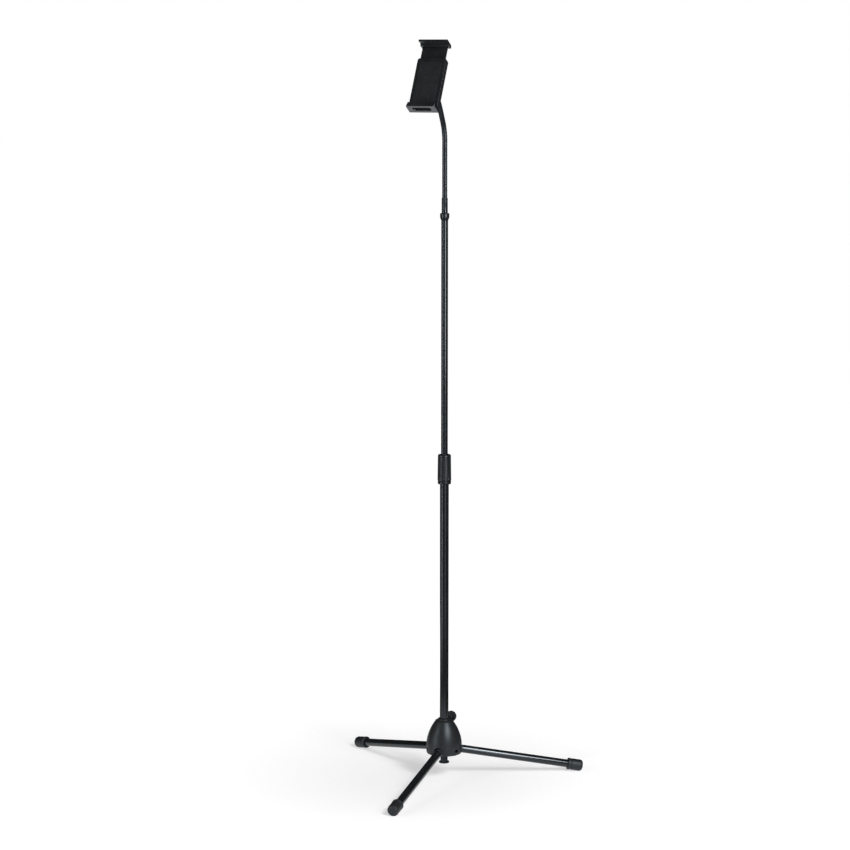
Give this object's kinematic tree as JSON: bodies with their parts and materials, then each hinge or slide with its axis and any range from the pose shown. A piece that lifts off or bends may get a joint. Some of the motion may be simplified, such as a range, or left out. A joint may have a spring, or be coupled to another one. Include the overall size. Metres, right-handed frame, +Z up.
{
  "type": "phone floor stand",
  "caption": "Folding tripod floor stand with a telescopic pole, a gooseneck and a ball-jointed clamp holder for a phone or small tablet.",
  "frame": {"origin": "on the floor, under the middle of the bounding box; the pole axis is 80.7 mm behind it at +Y", "axes": "+Z up along the pole, -Y forwards, the way the holder and the front leg point"},
  "size_m": [0.5996, 0.5217, 1.757],
  "materials": {
    "hub_plastic": "satin, finely textured black",
    "black_steel": "semi-gloss black powder coat",
    "black_rubber": "matte black",
    "grip_plastic": "satin black",
    "inner_plastic": "plain dark grey",
    "brass": "bright",
    "steel": "bright zinc",
    "neck_black": "satin black sleeve with fine ribs",
    "holder_plastic": "satin dark grey-black"
  },
  "bodies": {
    "hub": {"hub_housing": "hub_plastic", "hub_bush": "inner_plastic", "knob_insert": "brass", "leg_pin_1": "black_steel", "leg_pin_2": "black_steel", "leg_pin_3": "black_steel"},
    "leg_1": {"leg_knuckle_1": "inner_plastic", "leg_tube_1": "black_steel", "foot_cap_1": "black_rubber"},
    "leg_2": {"leg_knuckle_2": "inner_plastic", "leg_tube_2": "black_steel", "foot_cap_2": "black_rubber"},
    "leg_3": {"leg_knuckle_3": "inner_plastic", "leg_tube_3": "black_steel", "foot_cap_3": "black_rubber"},
    "pole": {"tube_plug": "inner_plastic", "lower_tube": "black_steel", "clutch_ring": "grip_plastic", "clutch_body": "inner_plastic", "clutch_collet": "inner_plastic"},
    "hub_knob": {"hub_knob": "grip_plastic", "hub_knob_screw": "steel"},
    "clutch_grip": {"clutch_grip": "grip_plastic"},
    "mast": {"upper_tube": "black_steel", "guide_bush": "inner_plastic", "top_stud": "steel"},
    "lock_nut": {"lock_nut": "grip_plastic"},
    "neck_1": {"gooseneck_ferrule": "neck_black", "gooseneck_1": "neck_black"},
    "neck_2": {"gooseneck_2": "neck_black"},
    "neck_3": {"gooseneck_3": "neck_black"},
    "neck_4": {"gooseneck_4": "neck_black"},
    "neck_5": {"gooseneck_5": "neck_black"},
    "neck_6": {"gooseneck_6": "neck_black"},
    "neck_7": {"gooseneck_7": "neck_black", "neck_end_sleeve": "neck_black"},
    "socket": {"ball_socket": "holder_plastic"},
    "clamp_ring": {"clamp_ring": "grip_plastic"},
    "ball": {"ball_stud": "steel", "stud_washer": "steel", "stud_nut": "steel"},
    "holder": {"back_housing": "holder_plastic", "front_cover": "holder_plastic", "back_pad": "black_rubber", "slide_brake_pad": "black_rubber", "lower_jaw": "holder_plastic", "lower_pad_1": "black_rubber", "lower_pad_2": "black_rubber"},
    "upper_jaw": {"upper_jaw": "holder_plastic", "slide_plate": "holder_plastic", "upper_pad": "black_rubber"}
  },
  "joints": [
    {"name": "pole_slide", "type": "slide", "parent": "hub", "child": "pole", "axis": [0, 0, 1], "range_m": [0, 0.018]},
    {"name": "leg_1_fold", "type": "hinge", "parent": "hub", "child": "leg_1", "pos_m": [0, 0.0565, 0.0715], "axis": [1, 0, 0], "range_deg": [0, 78]},
    {"name": "leg_2_fold", "type": "hinge", "parent": "hub", "child": "leg_2", "pos_m": [0.02096, 0.0928, 0.0715], "axis": [-0.5, 0.866, 0], "range_deg": [0, 78]},
    {"name": "leg_3_fold", "type": "hinge", "parent": "hub", "child": "leg_3", "pos_m": [-0.02096, 0.0928, 0.0715], "axis": [-0.5, -0.866, 0], "range_deg": [0, 78]},
    {"name": "hub_knob_turn", "type": "hinge", "parent": "hub", "child": "hub_knob", "pos_m": [0, 0.1207, 0.1378], "axis": [0, 1, 0], "range_deg": [0, 540]},
    {"name": "clutch_twist", "type": "hinge", "parent": "pole", "child": "clutch_grip", "pos_m": [0, 0.0807, 0.75], "axis": [0, 0, 1], "range_deg": [0, 270]},
    {"name": "height_slide", "type": "slide", "parent": "pole", "child": "mast", "axis": [0, 0, 1], "range_m": [-0.54, 0.02]},
    {"name": "lock_nut_turn", "type": "hinge", "parent": "mast", "child": "lock_nut", "pos_m": [0, 0.0807, 1.35], "axis": [0, 0, 1], "range_deg": [-360, 0]},
    {"name": "neck_swivel", "type": "hinge", "parent": "mast", "child": "neck_1", "pos_m": [0, 0.0807, 1.37], "axis": [0, 0, 1], "range_deg": [-180, 180]},
    {"name": "neck_bend_1", "type": "hinge", "parent": "neck_1", "child": "neck_2", "pos_m": [0, 0.0807, 1.414], "axis": [1, 0, 0], "range_deg": [-13, 13]},
    {"name": "neck_bend_2", "type": "hinge", "parent": "neck_2", "child": "neck_3", "pos_m": [0, 0.0807, 1.4527], "axis": [1, 0, 0], "range_deg": [-13, 13]},
    {"name": "neck_bend_3", "type": "hinge", "parent": "neck_3", "child": "neck_4", "pos_m": [0, 0.0807, 1.4914], "axis": [1, 0, 0], "range_deg": [-13, 13]},
    {"name": "neck_bend_4", "type": "hinge", "parent": "neck_4", "child": "neck_5", "pos_m": [0, 0.08034, 1.53009], "axis": [1, 0, 0], "range_deg": [-13, 13]},
    {"name": "neck_bend_5", "type": "hinge", "parent": "neck_5", "child": "neck_6", "pos_m": [0, 0.06881, 1.56672], "axis": [1, 0, 0], "range_deg": [-13, 13]},
    {"name": "neck_bend_6", "type": "hinge", "parent": "neck_6", "child": "neck_7", "pos_m": [0, 0.04863, 1.59974], "axis": [1, 0, 0], "range_deg": [-13, 13]},
    {"name": "socket_pan", "type": "hinge", "parent": "neck_7", "child": "socket", "pos_m": [0, 0.00386, 1.65888], "axis": [0, -0.617, 0.7869], "range_deg": [-180, 180]},
    {"name": "clamp_ring_turn", "type": "hinge", "parent": "socket", "child": "clamp_ring", "pos_m": [0, 0.00386, 1.65888], "axis": [0, -0.617, 0.7869], "range_deg": [0, 360]},
    {"name": "ball_tilt", "type": "hinge", "parent": "socket", "child": "ball", "pos_m": [0, 0.00386, 1.65888], "axis": [1, 0, 0], "range_deg": [-49, 4]},
    {"name": "holder_roll", "type": "hinge", "parent": "ball", "child": "holder", "pos_m": [0, 0.00386, 1.65888], "axis": [0, -0.8704, 0.4924], "range_deg": [-180, 180]},
    {"name": "jaw_slide", "type": "slide", "parent": "holder", "child": "upper_jaw", "axis": [0, 0.4924, 0.8704], "range_m": [-0.026, 0.065]}
  ],
  "couplings": [
    {"joint": "leg_1_fold", "follows": "pole_slide", "rad_per_m": 75.6},
    {"joint": "leg_2_fold", "follows": "pole_slide", "rad_per_m": 75.6},
    {"joint": "leg_3_fold", "follows": "pole_slide", "rad_per_m": 75.6},
    {"joint": "neck_bend_2", "follows": "neck_bend_1", "ratio": 1},
    {"joint": "neck_bend_3", "follows": "neck_bend_1", "ratio": 1},
    {"joint": "neck_bend_4", "follows": "neck_bend_1", "ratio": 1},
    {"joint": "neck_bend_5", "follows": "neck_bend_1", "ratio": 1},
    {"joint": "neck_bend_6", "follows": "neck_bend_1", "ratio": 1}
  ]
}
